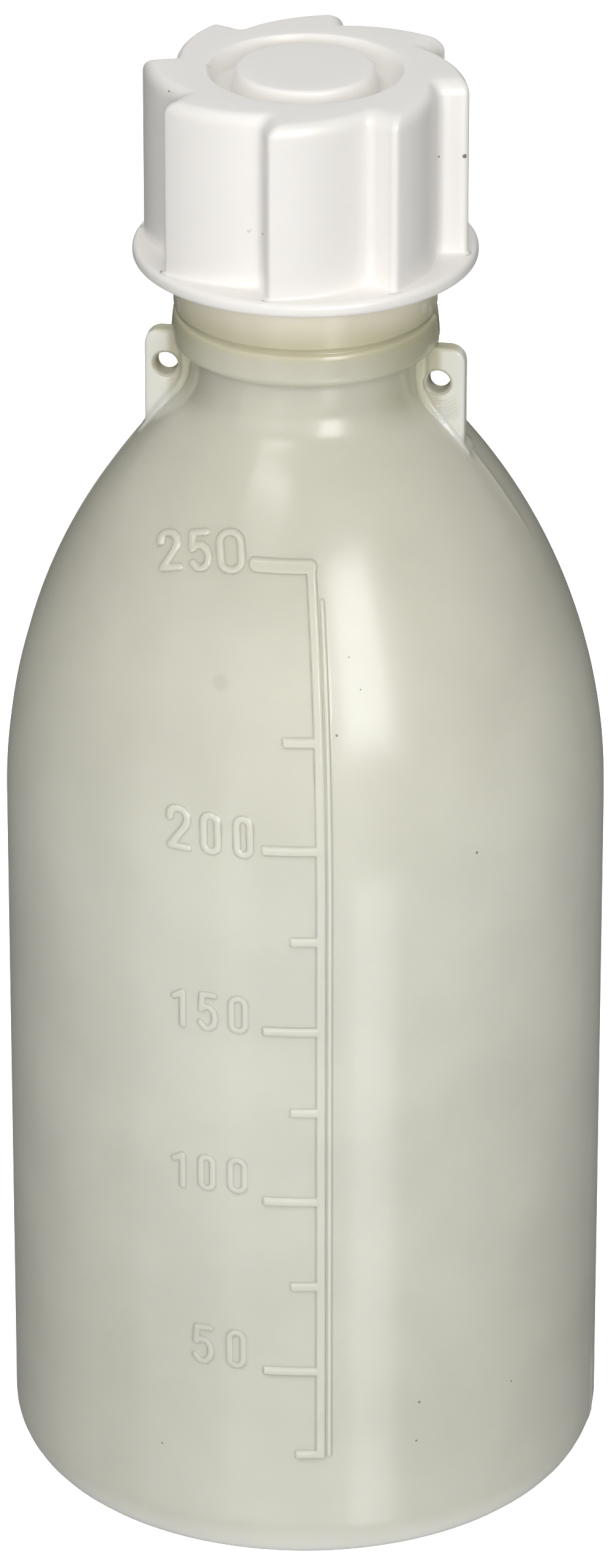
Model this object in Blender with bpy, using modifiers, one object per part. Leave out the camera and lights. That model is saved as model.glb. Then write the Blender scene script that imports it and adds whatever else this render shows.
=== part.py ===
"""Narrow mouth laboratory bottle of 250 ml, blown in translucent polyethylene, with its screw cap.

The bottle stands on its base ring with its axis on Z. Its mould opened along Y, so the two
sealing ears lie on the parting plane, at +X and -X, and the volume scale is on the -Y side.
The cap is one moulding: a toothed skirt with a flange, a roof with a ring groove and, under
the groove, the plug that seals the bore.
"""

import math

import bmesh
import bpy

MM = 0.001
TURN = 2 * math.pi
SIDES = 56
HEEL_STEPS = 5
BEVEL_ANGLE = math.radians(50)
SHARP_ANGLE = math.radians(32)

# Body of the bottle
BODY_DIAMETER = 61.0 * MM
WALL = 1.9 * MM
FLOOR = 2.6 * MM
HEEL_RADIUS = 5.5 * MM
SHOULDER_START = 75.0 * MM
SHOULDER_RADIUS = 61.0 * MM
BASE_RING_WIDTH = 3.5 * MM
PUSH_UP = 4.0 * MM
PUSH_UP_LIP = 0.8 * MM

# Neck, from the waist up to the rim
WAIST_DIAMETER = 22.8 * MM
WAIST_BLEND = 5.0 * MM
WAIST_HEIGHT = 2.9 * MM
BORE_DIAMETER = 21.2 * MM
NECK_DIAMETER = 23.6 * MM
COLLAR_DIAMETER = 26.3 * MM
BEAD_DIAMETER = 26.8 * MM
BEAD_ROUND = 0.9 * MM
BEAD_HEIGHT = 3.3 * MM
COLLAR_GROOVE_WIDTH = 0.8 * MM
COLLAR_GROOVE_FLOOR = 0.4 * MM
COLLAR_GROOVE_DEPTH = 0.3 * MM
COLLAR_HEIGHT = 9.5 * MM
FINISH_HEIGHT = 17.3 * MM
RIM_ROUND = 0.3 * MM

# Sealing ears
EAR_REACH = 16.15 * MM
EAR_THICKNESS = 1.8 * MM
EAR_RISE = 0.2 * MM
EAR_CORNER = 1.6 * MM
EAR_EDGE_ROUND = 0.4 * MM
EAR_ROOT_FLARE = 1.0 * MM
EAR_ROOT_ROUND = 0.8 * MM
EAR_HOLE_DIAMETER = 2.6 * MM
EAR_HOLE_OFFSET = 2.35 * MM
EAR_HOLE_DROP = 3.7 * MM

# Raised volume scale, read from its own direction round the body
SCALE_STEP = 25e-6
SCALE_MARKS = 10
SCALE_DIRECTION = math.radians(15.7)
SCALE_STEM_OFFSET = 1.5 * MM
SCALE_STROKE = 0.9 * MM
SCALE_RELIEF = 0.35 * MM
LONG_MARK = 5.4 * MM
SHORT_MARK = 2.6 * MM

# Cap
CAP_HEIGHT = 19.6 * MM
CAP_DECK = 1.5 * MM
TEETH = 8
TOOTH_TIP_RADIUS = 16.0 * MM
TOOTH_ROOT_RADIUS = 13.5 * MM
TOOTH_TIP_ROUND = 0.6 * MM
TOOTH_ROOT_ROUND = 0.4 * MM
TOOTH_FLANK_STEPS = 7
TOOTH_PHASE = math.radians(-5.0)
CROWN_ROUND = 1.5 * MM
CROWN_STEPS = 4
FLANGE_DIAMETER = 34.4 * MM
FLANGE_THICKNESS = 1.5 * MM
FLANGE_ROUND = 0.4 * MM
GROOVE_OUTER_DIAMETER = 19.3 * MM
GROOVE_INNER_DIAMETER = 13.9 * MM
GROOVE_DEPTH = 2.0 * MM
GROOVE_DRAFT = 0.35 * MM
DISC_RISE = 0.2 * MM
DISC_ROUND = 0.5 * MM
PLUG_WALL = 1.3 * MM
PLUG_REACH = 3.2 * MM
PLUG_TAPER = 0.25 * MM
PLUG_LEAD_IN = 0.5 * MM

# Fits between the cap and the neck
NECK_CLEARANCE = 0.35 * MM
SEAT_GAP = 0.3 * MM

# Radii and heights worked out from the sizes above
BODY_R = BODY_DIAMETER / 2
WAIST_R = WAIST_DIAMETER / 2
BORE_R = BORE_DIAMETER / 2
NECK_R = NECK_DIAMETER / 2
COLLAR_R = COLLAR_DIAMETER / 2
BEAD_R = BEAD_DIAMETER / 2
SHOULDER_X = BODY_R - SHOULDER_RADIUS
BLEND_X = WAIST_R + WAIST_BLEND
BLEND_Z = SHOULDER_START + math.sqrt(
    (SHOULDER_RADIUS + WAIST_BLEND) ** 2 - (BLEND_X - SHOULDER_X) ** 2)
BLEND_ANGLE = math.atan2(BLEND_Z - SHOULDER_START, BLEND_X - SHOULDER_X)
BEAD_UNDERSIDE = BLEND_Z + WAIST_HEIGHT
EAR_TOP = BEAD_UNDERSIDE + EAR_RISE
COLLAR_TOP = BEAD_UNDERSIDE + COLLAR_HEIGHT
RIM_TOP = COLLAR_TOP + FINISH_HEIGHT
CAP_TOP = RIM_TOP + SEAT_GAP + CAP_DECK
CAP_BOTTOM = CAP_TOP - CAP_HEIGHT
CAP_BORE_R = NECK_R + NECK_CLEARANCE
PLUG_R = BORE_R - SEAT_GAP


def arc(centre_x, centre_z, radius, start, end, steps):
    """Points on an arc in the XZ plane, from one angle to the other, both ends included."""
    points = []
    for i in range(steps + 1):
        angle = start + (end - start) * i / steps
        points.append((centre_x + radius * math.cos(angle), centre_z + radius * math.sin(angle)))
    return points


def body_skin(offset):
    """Outer skin from the waist down to the heel, moved out by offset, as (radius, height)."""
    points = arc(BLEND_X, BLEND_Z, WAIST_BLEND - offset, math.pi, math.pi + BLEND_ANGLE, 5)
    points += arc(SHOULDER_X, SHOULDER_START, SHOULDER_RADIUS + offset, BLEND_ANGLE, 0, 11)[1:]
    heel_x = BODY_R - HEEL_RADIUS
    points += arc(heel_x, HEEL_RADIUS, HEEL_RADIUS + offset, 0, -math.pi / 2, HEEL_STEPS)
    return points


def bottle_outside():
    """Outer profile of the bottle, from the rim down to the middle of the base."""
    groove_z = BEAD_UNDERSIDE + BEAD_HEIGHT
    groove_r = COLLAR_R - COLLAR_GROOVE_DEPTH
    slope = (COLLAR_GROOVE_WIDTH - COLLAR_GROOVE_FLOOR) / 2
    points = arc(NECK_R - RIM_ROUND, RIM_TOP - RIM_ROUND, RIM_ROUND, math.pi / 2, 0, 2)
    points += [(NECK_R, COLLAR_TOP)]
    points += arc(COLLAR_R - RIM_ROUND, COLLAR_TOP - RIM_ROUND, RIM_ROUND, math.pi / 2, 0, 2)
    points += [
        (COLLAR_R, groove_z + COLLAR_GROOVE_WIDTH),
        (groove_r, groove_z + slope + COLLAR_GROOVE_FLOOR),
        (groove_r, groove_z + slope),
        (COLLAR_R, groove_z),
    ]
    points += arc(BEAD_R - BEAD_ROUND, BEAD_UNDERSIDE + BEAD_ROUND, BEAD_ROUND, 0, -math.pi / 2, 3)
    under_round = BEAD_R - BEAD_ROUND - WAIST_R
    points += arc(WAIST_R + under_round, BEAD_UNDERSIDE - under_round, under_round,
                  math.pi / 2, math.pi, 3)[1:]
    points += body_skin(0)
    ring_x = BODY_R - HEEL_RADIUS - BASE_RING_WIDTH
    points += [(ring_x, 0), (ring_x - PUSH_UP_LIP, PUSH_UP_LIP)]
    points += dome(ring_x - PUSH_UP_LIP, PUSH_UP_LIP, PUSH_UP)[1:]
    return points


def dome(edge_r, edge_z, top_z):
    """Shallow dome from its edge to its top on the axis."""
    rise = top_z - edge_z
    radius = (edge_r ** 2 + rise ** 2) / (2 * rise)
    start = math.pi / 2 - math.asin(edge_r / radius)
    points = arc(0, top_z - radius, radius, start, math.pi / 2, 3)
    return points[:-1] + [(0, top_z)]


def bottle_inside():
    """Inner profile of the bottle, from the middle of the floor up to the rim."""
    ring_x = BODY_R - HEEL_RADIUS - BASE_RING_WIDTH
    points = dome(ring_x - PUSH_UP_LIP, FLOOR + PUSH_UP_LIP, FLOOR + PUSH_UP)[::-1]
    points += [(ring_x, FLOOR)]
    heel = HEEL_RADIUS - WALL
    points += arc(BODY_R - HEEL_RADIUS, FLOOR + heel, heel, -math.pi / 2, 0, 3)
    points += arc(SHOULDER_X, SHOULDER_START, SHOULDER_RADIUS - WALL, 0, BLEND_ANGLE, 8)
    points += arc(BLEND_X, BLEND_Z, WAIST_BLEND + WALL, math.pi + BLEND_ANGLE, math.pi, 3)[1:]
    points += [(BORE_R, BEAD_UNDERSIDE + BEAD_ROUND), (BORE_R, RIM_TOP)]
    return points


def fill_heights(wall, volumes):
    """Heights at which the bottle holds each volume, adding cone slices along the inner wall."""
    heights = []
    held = 0.0
    for (r0, z0), (r1, z1) in zip(wall, wall[1:]):
        part = math.pi * (z1 - z0) * (r0 * r0 + r0 * r1 + r1 * r1) / 3
        while len(heights) < len(volumes) and z1 > z0 and held + part >= volumes[len(heights)]:
            heights.append(z0 + (z1 - z0) * (volumes[len(heights)] - held) / part)
        held += part
    return heights


def new_collection(name):
    collection = bpy.data.collections.new(name)
    bpy.context.scene.collection.children.link(collection)
    return collection


def plastic(name, colour, roughness):
    """Moulded polyethylene as a Principled BSDF."""
    material = bpy.data.materials.new(name)
    material.use_nodes = True
    shader = material.node_tree.nodes["Principled BSDF"]
    shader.inputs["Base Color"].default_value = (*colour, 1)
    shader.inputs["Metallic"].default_value = 0
    shader.inputs["Roughness"].default_value = roughness
    return material


def add_object(name, mesh, collection, material=None):
    item = bpy.data.objects.new(name, mesh)
    collection.objects.link(item)
    if material:
        mesh.materials.append(material)
    else:
        item.hide_render = True
        item.display_type = "WIRE"
    return item


def turned(name, profile, collection, material=None, closed=False):
    """A profile of (radius, height) points turned round Z by a Screw modifier."""
    bm = bmesh.new()
    verts = [bm.verts.new((x, 0, z)) for x, z in profile]
    for a, b in zip(verts, verts[1:]):
        bm.edges.new((a, b))
    if closed:
        bm.edges.new((verts[-1], verts[0]))
    mesh = bpy.data.meshes.new(name)
    bm.to_mesh(mesh)
    bm.free()
    item = add_object(name, mesh, collection, material)
    screw = item.modifiers.new("Turn", "SCREW")
    screw.angle = TURN
    screw.steps = SIDES
    screw.render_steps = SIDES
    screw.use_merge_vertices = True
    screw.merge_threshold = 0.01 * MM
    return item


def plate(name, outline, thickness, collection, edge_round=0.0):
    """A flat outline in the XZ plane, extruded evenly to both sides of Y."""
    curve = bpy.data.curves.new(name, "CURVE")
    curve.dimensions = "2D"
    curve.fill_mode = "BOTH"
    curve.extrude = thickness / 2
    spline = curve.splines.new("POLY")
    spline.points.add(len(outline) - 1)
    for point, (x, z) in zip(spline.points, outline):
        point.co = (x, z, 0, 1)
    spline.use_cyclic_u = True
    flat = bpy.data.objects.new(name, curve)
    collection.objects.link(flat)
    flat.rotation_euler = (math.pi / 2, 0, 0)
    bpy.context.view_layer.update()
    evaluated = flat.evaluated_get(bpy.context.evaluated_depsgraph_get())
    mesh = bpy.data.meshes.new_from_object(evaluated)
    mesh.transform(flat.matrix_world)
    bpy.data.objects.remove(flat)
    bm = bmesh.new()
    bm.from_mesh(mesh)
    bmesh.ops.remove_doubles(bm, verts=bm.verts[:], dist=0.001 * MM)
    bmesh.ops.dissolve_limit(bm, angle_limit=math.radians(1), verts=bm.verts[:], edges=bm.edges[:])
    bmesh.ops.recalc_face_normals(bm, faces=bm.faces[:])
    bm.to_mesh(mesh)
    bm.free()
    item = add_object(name, mesh, collection)
    if edge_round:
        bevel = item.modifiers.new("Edge", "BEVEL")
        bevel.width = edge_round
        bevel.segments = 2
        bevel.limit_method = "ANGLE"
        bevel.angle_limit = BEVEL_ANGLE
    return item


def combine(item, other, operation):
    """Join, cut or intersect item with another object by a Boolean modifier."""
    step = item.modifiers.new(other.name, "BOOLEAN")
    step.operation = operation
    step.object = other
    step.solver = "EXACT"


def smooth_by_angle():
    """Node group that shades faces smooth and keeps edges sharper than SHARP_ANGLE hard."""
    group = bpy.data.node_groups.new("smooth_by_angle", "GeometryNodeTree")
    group.interface.new_socket("Mesh", in_out="INPUT", socket_type="NodeSocketGeometry")
    group.interface.new_socket("Mesh", in_out="OUTPUT", socket_type="NodeSocketGeometry")
    start = group.nodes.new("NodeGroupInput")
    angle = group.nodes.new("GeometryNodeInputMeshEdgeAngle")
    limit = group.nodes.new("FunctionNodeCompare")
    limit.operation = "LESS_THAN"
    limit.inputs[1].default_value = SHARP_ANGLE
    faces = group.nodes.new("GeometryNodeSetShadeSmooth")
    edges = group.nodes.new("GeometryNodeSetShadeSmooth")
    edges.domain = "EDGE"
    end = group.nodes.new("NodeGroupOutput")
    group.links.new(start.outputs[0], faces.inputs["Geometry"])
    group.links.new(faces.outputs["Geometry"], edges.inputs["Geometry"])
    group.links.new(angle.outputs["Unsigned Angle"], limit.inputs[0])
    group.links.new(limit.outputs["Result"], edges.inputs["Shade Smooth"])
    group.links.new(edges.outputs["Geometry"], end.inputs[0])
    return group


def ear_foot(offset):
    """Height at which the outer skin, moved out by offset, is as wide as an ear."""
    across = EAR_REACH - SHOULDER_X
    return SHOULDER_START + math.sqrt((SHOULDER_RADIUS + offset) ** 2 - across ** 2)


def ear_outline():
    """One ear on the parting plane: its free outline, closed inside the wall of neck and shoulder."""
    corner_x = EAR_REACH - EAR_CORNER
    foot_z = ear_foot(-WALL / 2)
    points = [(WAIST_R + WALL / 2, EAR_TOP)]
    points += arc(corner_x, EAR_TOP - EAR_CORNER, EAR_CORNER, math.pi / 2, 0, 5)
    root = [p for p in body_skin(-WALL / 2) if p[1] > foot_z]
    points += [(EAR_REACH, foot_z)] + root[::-1]
    return points


def flare_outline():
    """The thicker root of an ear: it hangs from the bead and fades out down the shoulder."""
    foot_z = ear_foot(0)
    outer = [(WAIST_R + EAR_ROOT_FLARE, BEAD_UNDERSIDE + BEAD_ROUND / 2)]
    for (x, z), (far_x, far_z) in zip(body_skin(0), body_skin(EAR_ROOT_FLARE)):
        share = (z - foot_z) / (BLEND_Z - foot_z)
        if share > 0:
            outer.append((x + (far_x - x) * share, z + (far_z - z) * share))
    inner = [p for p in body_skin(-WALL / 2) if p[1] > foot_z - WALL]
    return outer + inner[::-1] + [(WAIST_R - WALL / 2, BEAD_UNDERSIDE + BEAD_ROUND / 2)]


def add_ears(bottle, cutters):
    """Two flat ears with their sealing holes, joined to the bottle."""
    holes = []
    for side, turn in (("right", 0), ("left", math.pi)):
        flare = plate("ear_root_" + side, flare_outline(), EAR_THICKNESS + 2 * EAR_ROOT_FLARE,
                      cutters, EAR_ROOT_ROUND)
        ear = plate("ear_" + side, ear_outline(), EAR_THICKNESS, cutters, EAR_EDGE_ROUND)
        bpy.ops.mesh.primitive_cylinder_add(vertices=20, radius=EAR_HOLE_DIAMETER / 2,
                                            depth=2 * EAR_REACH)
        hole = bpy.context.object
        hole.name = "ear_hole_" + side
        hole.rotation_euler = (math.pi / 2, 0, 0)
        hole.hide_render = True
        hole.display_type = "WIRE"
        distance = EAR_REACH - EAR_HOLE_OFFSET
        hole.location = (distance * math.cos(turn), 0, EAR_TOP - EAR_HOLE_DROP)
        bpy.context.collection.objects.unlink(hole)
        cutters.objects.link(hole)
        for item in (flare, ear):
            item.rotation_euler = (0, 0, turn)
            combine(bottle, item, "UNION")
        holes.append(hole)
    for hole in holes:
        combine(bottle, hole, "DIFFERENCE")


def scale_outline(heights):
    """The scale's stem with its marks to the left, as one comb seen from outside."""
    half = SCALE_STROKE / 2
    left = -half
    points = [(half, heights[0] - half), (half, heights[-1] + half)]
    for number in range(len(heights), 0, -1):
        z = heights[number - 1]
        reach = LONG_MARK if number % 2 == 0 else SHORT_MARK
        if number < len(heights):
            points.append((left, z + half))
        points += [(left - reach, z + half), (left - reach, z - half)]
        if number > 1:
            points.append((left, z - half))
    return [(x - SCALE_STEM_OFFSET, z) for x, z in points]


def add_scale(bottle, cutters):
    """Volume marks standing proud of the wall, at the heights that the inside gives them."""
    volumes = [SCALE_STEP * (i + 1) for i in range(SCALE_MARKS)]
    heights = fill_heights(bottle_inside(), volumes)
    band = body_skin(SCALE_RELIEF)[:-HEEL_STEPS] + body_skin(-WALL / 2)[:-HEEL_STEPS][::-1]
    skin = turned("scale_skin", band, cutters, closed=True)
    marks = plate("scale_marks", scale_outline(heights), BODY_R, cutters)
    marks.rotation_euler = (0, 0, SCALE_DIRECTION)
    marks.location = (BODY_R * math.sin(SCALE_DIRECTION), -BODY_R * math.cos(SCALE_DIRECTION), 0)
    combine(marks, skin, "INTERSECT")
    combine(bottle, marks, "UNION")


def tooth_points(inset):
    """Plan outline of the toothed crown as (radius, angle), drawn in by inset all round."""
    tip = TOOTH_TIP_RADIUS - inset
    root = TOOTH_ROOT_RADIUS - inset
    pitch = TURN / TEETH
    tip_turn = TOOTH_TIP_ROUND / TOOTH_TIP_RADIUS
    root_turn = TOOTH_ROOT_ROUND / TOOTH_ROOT_RADIUS
    points = []
    for tooth in range(TEETH):
        step = TOOTH_PHASE - math.pi / 2 + pitch * tooth + inset / TOOTH_TIP_RADIUS
        for share in (1.0, 0.3):
            points.append((root + TOOTH_ROOT_ROUND * (1 - share) ** 2, step - root_turn * share))
        points.append((root + TOOTH_ROOT_ROUND, step))
        points.append((tip - TOOTH_TIP_ROUND, step))
        points.append((tip - 0.3 * TOOTH_TIP_ROUND, step + 0.3 * tip_turn))
        for i in range(TOOTH_FLANK_STEPS):
            share = i / TOOTH_FLANK_STEPS
            turn = tip_turn + (pitch - tip_turn - root_turn) * share
            points.append((tip + (root - tip) * share, step + turn))
    return points


def toothed_crown(name, collection, material):
    """Saw-toothed skirt with a rounded top edge, lofted upwards ring by ring."""
    foot = CAP_BOTTOM + FLANGE_THICKNESS / 2
    rings = [(0, foot), (0, CAP_TOP - CROWN_ROUND)]
    for i in range(1, CROWN_STEPS + 1):
        angle = math.pi / 2 * i / CROWN_STEPS
        rings.append((CROWN_ROUND * (1 - math.cos(angle)),
                      CAP_TOP - CROWN_ROUND * (1 - math.sin(angle))))
    bm = bmesh.new()
    loop = [bm.verts.new((r * math.cos(a), r * math.sin(a), foot)) for r, a in tooth_points(0)]
    base = bm.faces.new(loop)
    edges = list(base.edges)
    order = list(loop)
    for inset, height in rings[1:]:
        grown = bmesh.ops.extrude_edge_only(bm, edges=edges)["geom"]
        edges = [g for g in grown if isinstance(g, bmesh.types.BMEdge)]
        fresh = {}
        for old in order:
            for edge in old.link_edges:
                new = edge.other_vert(old)
                if new in grown:
                    fresh[old] = new
        order = [fresh[old] for old in order]
        for vert, (r, a) in zip(order, tooth_points(inset)):
            vert.co = (r * math.cos(a), r * math.sin(a), height)
    bm.faces.new(order)
    bmesh.ops.recalc_face_normals(bm, faces=bm.faces[:])
    mesh = bpy.data.meshes.new(name)
    bm.to_mesh(mesh)
    bm.free()
    return add_object(name, mesh, collection, material)


def flange_profile():
    """Thin flange round the foot of the skirt, a solid disc before the bore is cut."""
    edge = FLANGE_DIAMETER / 2
    top = CAP_BOTTOM + FLANGE_THICKNESS
    points = [(0, top)]
    points += arc(edge - FLANGE_ROUND, top - FLANGE_ROUND, FLANGE_ROUND, math.pi / 2, 0, 2)
    points += arc(edge - FLANGE_ROUND, CAP_BOTTOM + FLANGE_ROUND, FLANGE_ROUND, 0, -math.pi / 2, 2)
    points += [(0, CAP_BOTTOM)]
    return points


def hollow_profile():
    """The space inside the cap, from the roof under the disc down past the flange."""
    deck = CAP_TOP - CAP_DECK
    floor = CAP_TOP - GROOVE_DEPTH - PLUG_WALL
    lip_r = PLUG_R - PLUG_WALL
    inner_r = GROOVE_INNER_DIAMETER / 2 - PLUG_WALL
    recess_r = COLLAR_R + SEAT_GAP
    recess_top = COLLAR_TOP + SEAT_GAP
    below = CAP_BOTTOM - FLANGE_THICKNESS
    lip_z = deck - PLUG_REACH
    return [
        (0, CAP_TOP + DISC_RISE - PLUG_WALL),
        (inner_r, CAP_TOP + DISC_RISE - PLUG_WALL),
        (inner_r, floor),
        (lip_r, floor),
        (lip_r, lip_z),
        (PLUG_R - 2 * PLUG_TAPER, lip_z),
        (PLUG_R - PLUG_TAPER, lip_z + PLUG_LEAD_IN),
        (PLUG_R, deck),
        (CAP_BORE_R, deck),
        (CAP_BORE_R, recess_top + NECK_CLEARANCE),
        (CAP_BORE_R + NECK_CLEARANCE, recess_top),
        (recess_r, recess_top),
        (recess_r, below),
        (0, below),
    ]


def groove_profile():
    """The ring groove in the roof, down to the inside of the plug, and the space above the disc."""
    outer = GROOVE_OUTER_DIAMETER / 2
    inner = GROOVE_INNER_DIAMETER / 2
    floor = CAP_TOP - GROOVE_DEPTH
    over = CAP_TOP + 2 * GROOVE_DEPTH
    points = [(outer, over), (outer, CAP_TOP), (outer - GROOVE_DRAFT, floor)]
    points += [(inner + GROOVE_DRAFT, floor)]
    disc_top = CAP_TOP + DISC_RISE
    points += arc(inner - DISC_ROUND, disc_top - DISC_ROUND, DISC_ROUND, 0, math.pi / 2, 3)
    points += [(inner - DISC_ROUND, over)]
    return points


def disc_profile():
    """The raised disc inside the ring groove."""
    radius = GROOVE_INNER_DIAMETER / 2
    return [(0, CAP_TOP + DISC_RISE), (radius, CAP_TOP + DISC_RISE),
            (radius, CAP_TOP - GROOVE_DEPTH / 2), (0, CAP_TOP - GROOVE_DEPTH / 2)]


def build_bottle(collection, cutters):
    shell = bottle_inside() + bottle_outside()
    bottle = turned("bottle", shell, collection,
                    plastic("translucent_polyethylene", (0.70, 0.69, 0.60), 0.35))
    add_ears(bottle, cutters)
    add_scale(bottle, cutters)
    return bottle


def build_cap(collection, cutters):
    cap = toothed_crown("screw_cap", collection,
                        plastic("white_polypropylene", (0.83, 0.82, 0.79), 0.4))
    combine(cap, turned("cap_flange", flange_profile(), cutters), "UNION")
    combine(cap, turned("cap_disc", disc_profile(), cutters), "UNION")
    combine(cap, turned("cap_groove", groove_profile(), cutters, closed=True), "DIFFERENCE")
    combine(cap, turned("cap_hollow", hollow_profile(), cutters), "DIFFERENCE")
    return cap


def main():
    for item in list(bpy.data.objects):
        bpy.data.objects.remove(item)
    parts = new_collection("narrow_mouth_bottle")
    cutters = new_collection("cutters")
    shading = smooth_by_angle()
    for item in (build_bottle(parts, cutters), build_cap(parts, cutters)):
        item.modifiers.new("Shading", "NODES").node_group = shading
    bpy.context.view_layer.update()


main()
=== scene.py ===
"""Looks of the narrow mouth laboratory bottle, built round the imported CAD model."""

import math

import bmesh
import bpy
from mathutils import Matrix, Vector


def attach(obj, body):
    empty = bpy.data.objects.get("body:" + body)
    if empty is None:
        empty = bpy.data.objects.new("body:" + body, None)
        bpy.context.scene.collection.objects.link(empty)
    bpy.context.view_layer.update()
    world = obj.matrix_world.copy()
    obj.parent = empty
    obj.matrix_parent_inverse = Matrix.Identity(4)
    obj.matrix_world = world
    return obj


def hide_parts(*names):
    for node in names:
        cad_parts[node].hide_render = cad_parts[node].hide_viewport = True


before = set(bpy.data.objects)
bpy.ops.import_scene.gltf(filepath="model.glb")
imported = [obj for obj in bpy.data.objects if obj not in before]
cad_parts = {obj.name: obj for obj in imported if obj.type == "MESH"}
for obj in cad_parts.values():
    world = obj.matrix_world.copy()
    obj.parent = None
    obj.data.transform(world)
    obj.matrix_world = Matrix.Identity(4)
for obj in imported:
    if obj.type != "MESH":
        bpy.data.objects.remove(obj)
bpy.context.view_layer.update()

MM = 0.001
TURN = 2 * math.pi
# Two radii closer than this are the same
SAME = 0.01 * MM

# Sizes of the blown bottle, the same as the solid's
BODY_R = 30.5 * MM
WALL = 1.9 * MM
FLOOR = 2.6 * MM
HEEL_R = 5.5 * MM
RING_R = 21.5 * MM
PUSH_UP = 4.0 * MM
PUSH_UP_LIP = 0.8 * MM
SHOULDER_Z = 75.0 * MM
SHOULDER_R = 61.0 * MM
WAIST_R = 11.4 * MM
WAIST_BLEND = 5.0 * MM
BORE_R = 10.6 * MM
NECK_R = 11.8 * MM
COLLAR_R = 13.15 * MM
COLLAR_FILLET = 0.3 * MM
BEAD_R = 13.4 * MM
BEAD_ROUND = 0.9 * MM
RIM_ROUND = 0.3 * MM
SHOULDER_X = BODY_R - SHOULDER_R
BLEND_X = WAIST_R + WAIST_BLEND
BLEND_Z = SHOULDER_Z + math.sqrt((SHOULDER_R + WAIST_BLEND) ** 2 - (BLEND_X - SHOULDER_X) ** 2)
BLEND_ANGLE = math.atan2(BLEND_Z - SHOULDER_Z, BLEND_X - SHOULDER_X)
BEAD_Z = BLEND_Z + 2.9 * MM
GROOVE_Z = BEAD_Z + 3.3 * MM
COLLAR_TOP = BEAD_Z + 9.5 * MM
RIM_Z = COLLAR_TOP + 17.3 * MM
# Section of the groove under the cap: millimetres above GROOVE_Z, and in from the collar
GROOVE_SECTION = ((0.88, 0.02), (0.78, 0.07), (0.70, 0.16), (0.62, 0.25), (0.52, 0.3),
                  (0.30, 0.3), (0.20, 0.25), (0.12, 0.16), (0.03, 0.05))
# The neck widens from there to the bead: millimetres below GROOVE_Z, and out from the collar
NECK_FOOT = ((0.12, 0.04), (0.6, 0.1), (1.2, 0.15), (1.8, 0.21))

# Sealing ears on the parting plane
EAR_REACH = 16.15 * MM
EAR_THICKNESS = 1.8 * MM
EAR_TOP = BEAD_Z + 0.2 * MM
EAR_CORNER = 1.6 * MM
EAR_FLARE = 1.0 * MM
EAR_HOLE_R = 1.0 * MM
EAR_HOLE_MOUTH_R = 1.24 * MM
EAR_HOLE_EDGE = 0.12 * MM
# Where the photograph shows the holes: 1 is the right ear, -1 the left
EAR_HOLES_X = {1: 13.55 * MM, -1: -14.05 * MM}
EAR_HOLE_Z = EAR_TOP - 3.7 * MM
EAR_VOXEL = 0.16 * MM
EAR_SMOOTHINGS = 4
# The smoothing draws the ear's outer edge in by this much, so its blank is wider
EAR_SHRINK = 0.08 * MM
# The strip of wall that an ear grows out of: its two depths in the wall, its drop and half angle
EAR_STRIP = (0.1 * MM, 1.1 * MM)
EAR_STRIP_DROP = 5 * MM
EAR_STRIP_TURN = math.radians(26)

# Fine relief of the mould: its parting line, and how far the mesh columns near it stand off it.
# The columns near the axis are left alone.
COLUMNS = 160
AXIS_CLEAR = 2 * MM
PARTING_COLUMNS = (0.0, 0.15 * MM, 0.36 * MM, 1.5 * MM, 3.1 * MM)
PARTING_RIDGE = (0.09 * MM, 0.05 * MM)
# Scar across the base where the mould pinched the parison off: half width, reach and height
SCAR_WIDTH = 0.2 * MM
SCAR_REACH = 15 * MM
SCAR_HEIGHT = 0.15 * MM

# Screw thread on the neck and in the cap
THREAD_PITCH = 3.2 * MM
THREAD_START = COLLAR_TOP + 3.0 * MM
THREAD_TURNS = 2.7
THREAD_DEPTH = 0.6 * MM
THREAD_FOOT = 0.75 * MM
THREAD_CREST = 0.25 * MM
# Turns over which the thread rises at its start and sinks at its end
THREAD_FADE = 0.08

# Raised volume scale, in its own frame: across from its direction, and height
SCALE_TURN = math.radians(15.7)
SCALE_RELIEF = 0.35 * MM
SCALE_EDGE = 0.22 * MM
STROKE = 0.84 * MM
DIGIT_STROKE = 0.6 * MM
# Above this height in millimetres the shoulder is steep: the mark there is wider, and the digits
# are cut square to the slope
SLOPED_FROM = 100
SLOPED_STROKE = 1.3 * STROKE
# The front of the bottle that the scale may reach, and the rounds that refine its mesh there
SCALE_ZONE = (12 * MM, 114 * MM)
SCALE_FRONT = 6 * MM
SCALE_ROUNDS = 3
# Relief of the digits above a height on the bottle: crisp at the top, faint lower down
DIGIT_RELIEF = ((100, 0.36 * MM), (75, 0.24 * MM), (0, 0.16 * MM))
STEM = -1.49 * MM
# Thin rib beside the stem: its place, width and height, and how much lower it ends
STEM_RIB = (-0.6 * MM, 0.36 * MM, 0.22 * MM)
STEM_RIB_SHORT = 3 * MM
# Tilt of the digits that are cut square to the slope, and how far out their middle lies
SHOULDER_TILT = math.radians(26.0)
SHOULDER_OUT = 16.23 * MM
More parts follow.
